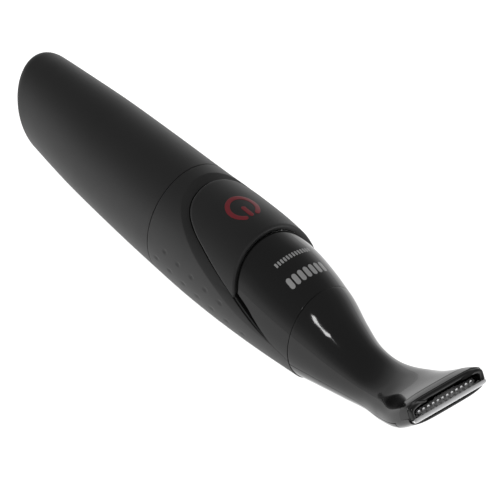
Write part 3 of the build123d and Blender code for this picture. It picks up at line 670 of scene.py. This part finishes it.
def head_skin(x, turn, inset=0.0):
    """Points on the head at section stations and angles from the key side."""
    x, turn, inset = np.broadcast_arrays(x, turn, inset)
    columns = np.moveaxis(smooth(HEAD, x), -1, 0)
    height, lean, half_width, half_height, upper, lower = columns
    lean = np.radians(lean)
    up, across = np.cos(turn), np.sin(turn)
    power = np.where(up > 0, upper, lower)
    reach = (np.abs(across / (half_width - inset))**power
             + np.abs(up / (half_height - inset))**power) ** (-1 / power)
    up, across = up * reach, across * reach
    return np.stack([x - np.sin(lean) * up, across, height + np.cos(lean) * up], -1)


def head_start(turn):
    """Where the head's edge at the neck seam lies at each angle."""
    slope = math.tan(math.radians(NECK_LEAN))
    x = np.full_like(turn, NECK_X)
    for _ in range(8):
        point = head_skin(x, turn)
        x = x + NECK_X + SKIN_GAP - slope * point[..., 2] - point[..., 0]
    return x


def parting_turn(x, drop):
    """The angle at each station that lies a share of the half height below the middle."""
    columns = np.moveaxis(smooth(HEAD, x), -1, 0)
    half_width, half_height, lower = columns[2], columns[3], columns[5]
    across = half_width * (1 - drop**lower) ** (1 / lower)
    return np.arctan2(across, -drop * half_height)


# The lip round the mouth: how far behind the end plane, and how far inside the outline.
LIP = (
    (2.05, 0.0), (2.0, 0.03), (1.95, 0.12), (1.9, 0.13), (1.85, 0.06), (1.2, 0.18), (0.64, 0.3),
    (0.59, 0.36), (0.56, 0.46), (0.34, 0.52), (0.14, 0.64), (0.03, 0.84), (0.0, 1.05),
    (0.02, 1.28), (0.12, 1.5), (0.3, 1.66), (0.6, 1.76), (2.0, 1.8), (4.0, 1.84),
)
LIP_BLEND = 0.3                                  # points further inside stand on the end plane
LIP_BACK, LIP_BACK_INSET = 0.4, 2.15
# The cheeks at the mouth's two ends: how far ahead, from which share of the half width on,
# over how much of it, and how far back they begin.
CHEEK, CHEEK_FROM, CHEEK_RUN, CHEEK_LONG = 0.95, 0.84, 0.1, 1.9


def lip_points(turn, lip):
    """The lip's profile at each angle, from the crease round into the mouth."""
    columns = []
    half_width_share = np.abs(head_skin(MOUTH_X, turn)[..., 1]) / HEAD[-1, 3]
    side_share = np.clip((half_width_share - CHEEK_FROM) / CHEEK_RUN, 0, 1)
    cheek = (side_share**2 * (3 - 2 * side_share) * CHEEK)[:, None] * FORWARD
    for behind, inset in lip:
        point = head_skin(np.full_like(turn, MOUTH_X), turn, inset)
        side = head_skin(np.full_like(turn, MOUTH_X - behind), turn, inset)
        flat = point - FORWARD * behind
        share = 0.0 if inset > LIP_BLEND else 1.0 - inset / LIP_BLEND
        ahead = min(max((CHEEK_LONG - behind) / CHEEK_LONG, 0.0), 1.0)
        columns.append(flat * (1 - share) + side * share + cheek * ahead)
    return columns


HEAD_WALL = 1.2
COVER_ROWS, COVER_COLUMNS = 120, 120
COVER_GAP = 0.008                                # radians, from the parting to each cover
REAR_COVER_END = 126.35
MOUTH_WALL_MORE, MOUTH_WALL_FROM, MOUTH_WALL_RUN = 1.3, 122, 5


def head_cover(name, node, low_side):
    """One cover of the head, from the neck seam: the front one has the lip round the mouth."""
    share = np.linspace(-1, 1, COVER_ROWS)
    end = REAR_COVER_END if low_side else MOUTH_X - LIP[0][0] - 0.05
    lift = COVER_GAP if low_side else -COVER_GAP

    def turns(x):
        edge = parting_turn(x, PARTING) + lift
        return math.pi + share * (math.pi - edge) if low_side else share * edge

    neck_turn = turns(np.full(COVER_ROWS, NECK_X + 1.0))
    start = head_start(neck_turn)
    outer = [head_skin(start + distance, neck_turn, eased(distance, EDGE_ROUND))
             for distance in EDGE_STEPS]
    inner = [head_skin(start, neck_turn, HEAD_WALL)] * len(EDGE_STEPS)
    for f in np.linspace(0, 1, COVER_COLUMNS)[1:]:
        x = start + EDGE_ROUND + (end - start - EDGE_ROUND) * f
        turn = turns(x)
        wall = HEAD_WALL
        if not low_side:
            wall = wall + MOUTH_WALL_MORE * np.clip((x - MOUTH_WALL_FROM) / MOUTH_WALL_RUN, 0, 1)
        outer.append(head_skin(x, turn))
        inner.append(head_skin(x, turn, wall))
    last_turn = turns(np.full(COVER_ROWS, end))
    if low_side:
        last = end + EDGE_ROUND
        for distance in EDGE_STEPS[-2::-1]:
            outer.append(head_skin(last - distance, last_turn, eased(distance, EDGE_ROUND)))
            inner.append(head_skin(last, last_turn, HEAD_WALL))
    else:
        outer += lip_points(last_turn, LIP)
        inner += lip_points(last_turn, [(behind + LIP_BACK, LIP_BACK_INSET) for behind, _ in LIP])
    points, faces = thick_sheet(np.stack(outer, 1), np.stack(inner, 1), False)
    piece = build(name, points, faces, "head", finishes["head_black"])
    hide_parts(node)


CARRIER_ROWS = 90
CARRIER_FROM = REAR_COVER_END + 0.2
CARRIER_DROP = 0.17
CARRIER_WALL, CARRIER_THIN, CARRIER_WALL_FROM, CARRIER_WALL_RUN = 1.1, 0.45, 127.5, 1.5
# The rounded rim: share of its length, and how far inside the outline.
RIM = ((0.0, 0.0), (0.6, 0.0), (0.8, 0.06), (0.93, 0.14), (1.0, 0.26), (1.0, 0.45), (0.92, 0.55))
RIM_LONG, RIM_INSIDE, RIM_INSIDE_END = 0.34, 0.65, 0.85


def carrier():
    """The lower mouthpiece under the guard plate, with its rounded rim."""
    edge = parting_turn(np.array([MOUTH_X]), CARRIER_DROP)[0]
    turn = math.pi + np.linspace(-1, 1, CARRIER_ROWS) * (math.pi - edge)

    def ring(x, inset=0.0):
        return head_skin(np.full(CARRIER_ROWS, x), turn, inset)

    outer = [ring(CARRIER_FROM + distance, eased(distance, EDGE_ROUND)) for distance in EDGE_STEPS]
    inner = [ring(CARRIER_FROM, CARRIER_WALL)] * len(EDGE_STEPS)
    for x in np.linspace(CARRIER_FROM + EDGE_ROUND, MOUTH_X - 0.5, 26)[1:]:
        thinner = min(max((x - CARRIER_WALL_FROM) / CARRIER_WALL_RUN, 0.0), 1.0)
        outer.append(ring(x))
        inner.append(ring(x, CARRIER_WALL - CARRIER_THIN * thinner))
    low = np.clip((np.cos(turn) * -1 - 0.05) * 3.0, 0, 1)[:, None] * RIM_LONG
    outer += [ring(MOUTH_X, inset) + FORWARD * low * share for share, inset in RIM]
    inner_shares = [share for share, _ in RIM[:-1]] + [RIM_INSIDE_END]
    inner += [ring(MOUTH_X, RIM_INSIDE) + FORWARD * low * share for share in inner_shares]
    points, faces = thick_sheet(np.stack(outer, 1), np.stack(inner, 1), False)
    piece = build("blade_mouthpiece", points, faces, "head", finishes["carrier_black"])
    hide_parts("blade_carrier")


def blade_point(forward, across, up):
    """A point from its distances from the middle of the cutting edge."""
    return BLADE_AT + FORWARD * forward + ACROSS * across + UPWARD * up


def cells_solid(xs, ys, low, high, filled):
    """A closed solid of the filled cells of a grid, between two heights that depend on x."""
    rows, columns = len(xs), len(ys)
    size = rows * columns
    points = [blade_point(x, y, level(x)) for level in (low, high) for x in xs for y in ys]
    faces = []
    for i in range(rows - 1):
        for j in range(columns - 1):
            if not filled(i, j):
                continue
            a, b = i * columns + j, (i + 1) * columns + j
            c, d = b + 1, a + 1
            faces.append((a, b, c, d))
            faces.append((a + size, d + size, c + size, b + size))
            sides = (
                (a, b, i, j - 1), (b, c, i + 1, j), (c, d, i, j + 1), (d, a, i - 1, j),
            )
            for p, q, ni, nj in sides:
                inside = 0 <= ni < rows - 1 and 0 <= nj < columns - 1
                if not inside or not filled(ni, nj):
                    faces.append((p, p + size, q + size, q))
    return np.array(points), faces


def lathe_solid(rings):
    """A solid from a grid of closed rings, the first one closed by its own middle."""
    rings = np.asarray(rings)
    middle = np.broadcast_to(rings[0].mean(0), rings[:1].shape)
    rings = np.concatenate([middle, rings])
    count, sides = rings.shape[:2]
    faces = grid_faces(count, sides) + [
        (i * sides + sides - 1, i * sides, (i + 1) * sides, (i + 1) * sides + sides - 1)
        for i in range(count - 1)
    ]
    return rings.reshape(-1, 3), faces


def bar_solid(sections):
    """A solid through closed sections that follow each other, with flat ends."""
    rows, count = sections.shape[:2]
    faces = []
    for i in range(rows - 1):
        for j in range(count):
            k = (j + 1) % count
            faces.append((i * count + j, i * count + k, (i + 1) * count + k, (i + 1) * count + j))
    faces.append(tuple(range(count)))
    faces.append(tuple(range((rows - 1) * count, rows * count))[::-1])
    return sections.reshape(-1, 3), faces


SLOTS, SLOT_PITCH, SLOT_WIDTH = 12, 1.5, 0.46
PLATE_X = (-0.25, -0.45, -1.45, -2.2, -3.9)      # the slots lie between the second and third
PLATE_HALF, PLATE_THICK, PLATE_TOP = 10.0, 0.4, 0.52
PLATE_SLOPE, PLATE_BEND, PLATE_STEEPER = 0.25, 2.2, 0.55
# The bright slot roots: forward, radius.
ROOT_RINGS = ((-1.66, 0.34), (-1.52, 0.4), (-1.45, 0.4), (-1.42, 0.37), (-1.42, 0.0))
ROOT_AT, ROOT_LIFT, ROOT_SIDES = -1.5, 0.2, 16
# The turned-down edge: its section (forward, up), and how it tapers towards its two ends.
EDGE_OUTLINE = (
    (-0.45, 0.5), (-0.2, 0.58), (-0.06, 0.56), (0.0, 0.46), (0.0, -0.42), (-0.06, -0.49),
    (-0.3, -0.5), (-0.3, 0.1), (-0.45, 0.1),
)
EDGE_ENDS = (11.2, 11.5, 11.68)
EDGE_TAPER_FROM, EDGE_TAPER_END, EDGE_TAPER_RUN, EDGE_TAPER_UP = 11.1, 11.75, 0.65, 0.25


def plate_top(x):
    """The height of the guard plate's upper side."""
    return PLATE_TOP + PLATE_SLOPE * (-x - 0.25) + PLATE_STEEPER * max(0.0, -x - PLATE_BEND)


def guard():
    """The slotted steel plate, rising towards the back, with its bright turned-down edge."""
    centres = (np.arange(SLOTS) - (SLOTS - 1) / 2) * SLOT_PITCH
    ys = [-PLATE_HALF]
    for centre in centres:
        ys += [centre - SLOT_WIDTH / 2, centre + SLOT_WIDTH / 2]
    ys += [PLATE_HALF]

    def filled(i, j):
        return not (i == 1 and 0 < j < len(ys) - 2 and j % 2 == 1)

    points, faces = cells_solid(PLATE_X, ys, lambda x: plate_top(x) - PLATE_THICK, plate_top,
                                filled)
    plate = build("guard_plate", points, faces, "head", finishes["plate_steel"],
                  sharp=20)
    turns = np.linspace(0, 2 * math.pi, ROOT_SIDES, endpoint=False)
    height = plate_top(ROOT_AT) + ROOT_LIFT
    points, faces = joined(*(
        lathe_solid([
            [blade_point(forward, centre + radius * math.sin(a), height + radius * math.cos(a))
             for a in turns]
            for forward, radius in ROOT_RINGS
        ])
        for centre in centres
    ))
    roots = build("slot_roots", points, faces, "head", finishes["guard_steel"])
    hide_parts("guard_comb")
    ends = np.array(EDGE_ENDS)
    edge_y = np.concatenate([-ends[::-1], np.linspace(-10.5, 10.5, 29), ends])
    narrowing = np.clip((EDGE_TAPER_END - np.abs(edge_y)) / EDGE_TAPER_RUN, 0.1, 1)
    taper = np.where(np.abs(edge_y) > EDGE_TAPER_FROM, narrowing, 1.0)
    points, faces = bar_solid(np.array([
        [blade_point(f, y, u * share + (1 - share) * EDGE_TAPER_UP) for f, u in EDGE_OUTLINE]
        for y, share in zip(edge_y, taper)
    ]))
    edge = build("guard_edge", points, faces, "head", finishes["guard_steel"])
    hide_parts("guard_comb")
    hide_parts("guard_comb")


# ---- The object -------------------------------------------------------------------------

cap()
rear_shell()
key()
sign()
nose()
nose_print()
head_cover("head_front_shell", "head_front_cover", False)
head_cover("head_rear_shell", "head_rear_cover", True)
carrier()
guard()

CAD_SHARP = 30
slots = {row["node"]: row["material_slot"] for row in frame["record"]["subparts"]}
for node, piece in frame["nodes"].items():
    piece.data.materials.clear()
    piece.data.materials.append(finishes[slots[node]])
    piece.data.polygons.foreach_set("use_smooth", [True] * len(piece.data.polygons))
    piece.data.set_sharp_from_angle(angle=math.radians(CAD_SHARP))


# ---- Stage, light and camera ------------------------------------------------------------

FLOOR = 3.0                                      # half its side, in metres
FLOOR_GLOW = 0.97
floor_mesh = bpy.data.meshes.new("floor")
floor_mesh.from_pydata(
    [(-FLOOR, -FLOOR, 0), (FLOOR, -FLOOR, 0), (FLOOR, FLOOR, 0), (-FLOOR, FLOOR, 0)], [],
    [(0, 1, 2, 3)],
)
floor = bpy.data.objects.new("floor", floor_mesh)
bpy.context.scene.collection.objects.link(floor)
floor_look = surface("floor_white", (0.86, 0.86, 0.86), 0.9, specular=0.1)
floor_shader = floor_look.node_tree.nodes["Principled BSDF"]
floor_shader.inputs["Emission Color"].default_value = (1, 1, 1, 1)
floor_shader.inputs["Emission Strength"].default_value = FLOOR_GLOW
floor_mesh.materials.append(floor_look)

world = bpy.data.worlds.new("studio")
bpy.context.scene.world = world
world.use_nodes = True
sky, sky_links = world.node_tree.nodes, world.node_tree.links
direction = sky.new("ShaderNodeTexCoord")
parts = sky.new("ShaderNodeSeparateXYZ")
ramp = sky.new("ShaderNodeValToRGB")
sky_links.new(direction.outputs["Generated"], parts.inputs["Vector"])
sky_links.new(parts.outputs["Z"], ramp.inputs["Fac"])
sky_links.new(ramp.outputs["Color"], sky["Background"].inputs["Color"])
# The sky's brightness by the upward share of the direction: 0 at the horizon, 1 overhead.
SKY = ((0.0, 1.0), (0.12, 0.95), (0.35, 0.5), (0.6, 0.28), (0.85, 0.25), (1.0, 0.25))
while len(ramp.color_ramp.elements) < len(SKY):
    ramp.color_ramp.elements.new(0.5)
for element, (height, level) in zip(ramp.color_ramp.elements, SKY):
    element.position = height
    element.color = (level, level, level, 1)
sky["Background"].inputs["Strength"].default_value = 1.0

# One area lamp: its direction, distance and size in metres, and power in watts.
LAMP_TOWARDS = (0.352, -0.37, 0.86)
LAMP_DISTANCE, LAMP_WIDTH, LAMP_HEIGHT = 1.3, 0.12, 0.19
LAMP_POWER = 1.2
light = bpy.data.lights.new("top_lamp", "AREA")
light.shape = "RECTANGLE"
light.size, light.size_y, light.energy = LAMP_WIDTH, LAMP_HEIGHT, LAMP_POWER
lamp = bpy.data.objects.new("top_lamp", light)
aim = Vector(LAMP_TOWARDS).normalized()
lamp.location = aim * LAMP_DISTANCE
lamp.rotation_euler = aim.to_track_quat("Z", "Y").to_matrix().to_euler()
bpy.context.scene.collection.objects.link(lamp)

# The camera's axes, and its place in the millimetres of the stations.
RIGHT = Vector((0.67406, 0.72321, 0.15037))
UP = Vector((-0.56726, 0.37641, 0.73248))
BACK = Vector((0.47313, -0.57904, 0.66397))
EYE = np.array((484.662, -519.749, 596.627))
camera_data = bpy.data.cameras.new("camera")
camera = bpy.data.objects.new("camera", camera_data)
bpy.context.scene.collection.objects.link(camera)
turned = Matrix((RIGHT, UP, BACK)).transposed().to_4x4()
camera.matrix_world = Matrix.Translation(Vector((EYE + ORIGIN) * MM)) @ turned
camera_data.sensor_width = 36.0
camera_data.lens = 280.1
camera_data.shift_x = 0.0503
camera_data.shift_y = -0.0098
camera_data.clip_start, camera_data.clip_end = 0.01, 50.0
bpy.context.scene.camera = camera

bpy.context.scene.view_settings.view_transform = "Standard"
